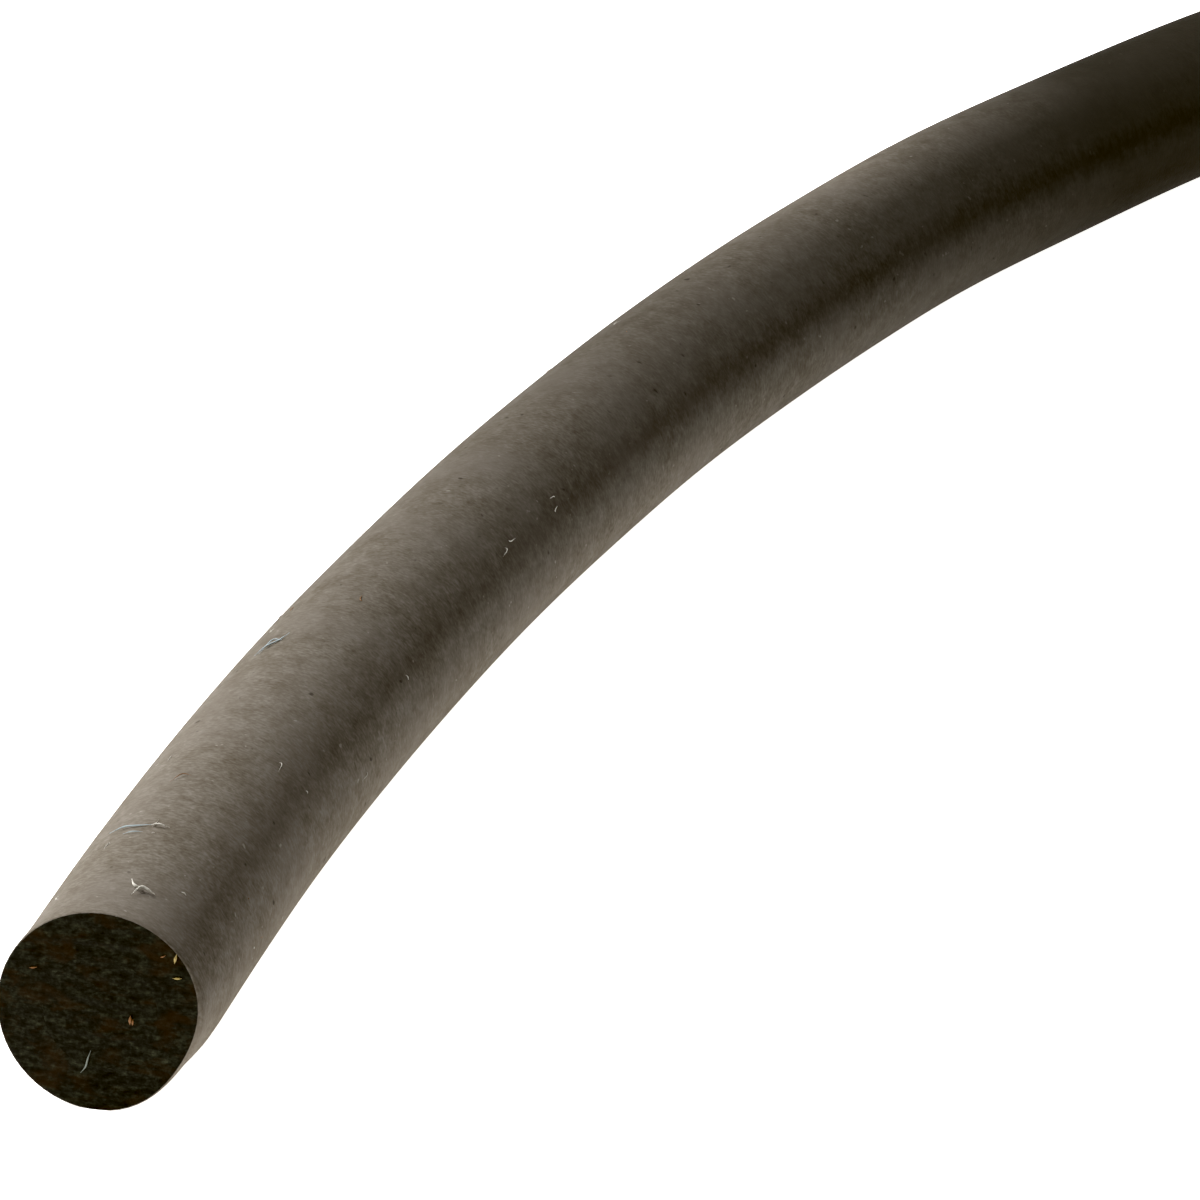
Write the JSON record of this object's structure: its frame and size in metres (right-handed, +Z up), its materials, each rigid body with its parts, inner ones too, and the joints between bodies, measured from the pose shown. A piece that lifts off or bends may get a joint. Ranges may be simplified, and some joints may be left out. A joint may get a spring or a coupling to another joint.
{
  "type": "soaker hose",
  "caption": "Slim porous rubber soaker hose with a closed dead end, wound into a tied round coil, with a threaded swivel inlet fitting lying on top.",
  "frame": {"origin": "centre of the footprint of the whole coiled hose, on the surface it stands on", "axes": "+Z up; +X from the free dead end towards the coil; the coil's axis is vertical and the inlet fitting's mouth faces -Y"},
  "size_m": [0.1836, 0.135, 0.0647],
  "materials": {
    "porous_rubber": "matte, dusty grey-brown extruded crumb rubber with a fine speckle",
    "cut_rubber": "matte green-black cut face of the same crumb rubber, with knife streaks",
    "tie_nylon": "satin natural nylon",
    "nut_nylon": "fine-textured black nylon",
    "tail_brass": "machined brass",
    "seal_rubber": "smooth black moulded rubber",
    "disc_acetal": "satin white acetal",
    "screen_steel": "stainless sheet",
    "clamp_steel": "stainless strip"
  },
  "bodies": {
    "hose": {"hose_lead": "porous_rubber", "dead_end_plug": "cut_rubber", "hose_coil": "porous_rubber", "hose_tail": "porous_rubber", "coil_tie_1": "tie_nylon", "coil_tie_2": "tie_nylon", "coil_tie_3": "tie_nylon", "coil_tie_4": "tie_nylon", "barb_tailpiece": "tail_brass", "inlet_washer": "seal_rubber", "flow_disc": "disc_acetal", "filter_screen": "screen_steel", "pinch_clamp": "clamp_steel"},
    "nut": {"swivel_nut": "nut_nylon"}
  },
  "joints": [
    {"name": "nut_spin", "type": "hinge", "parent": "hose", "child": "nut", "pos_m": [0.07555, -0.0175, 0.0488], "axis": [0, -1, 0], "continuous": true}
  ]
}
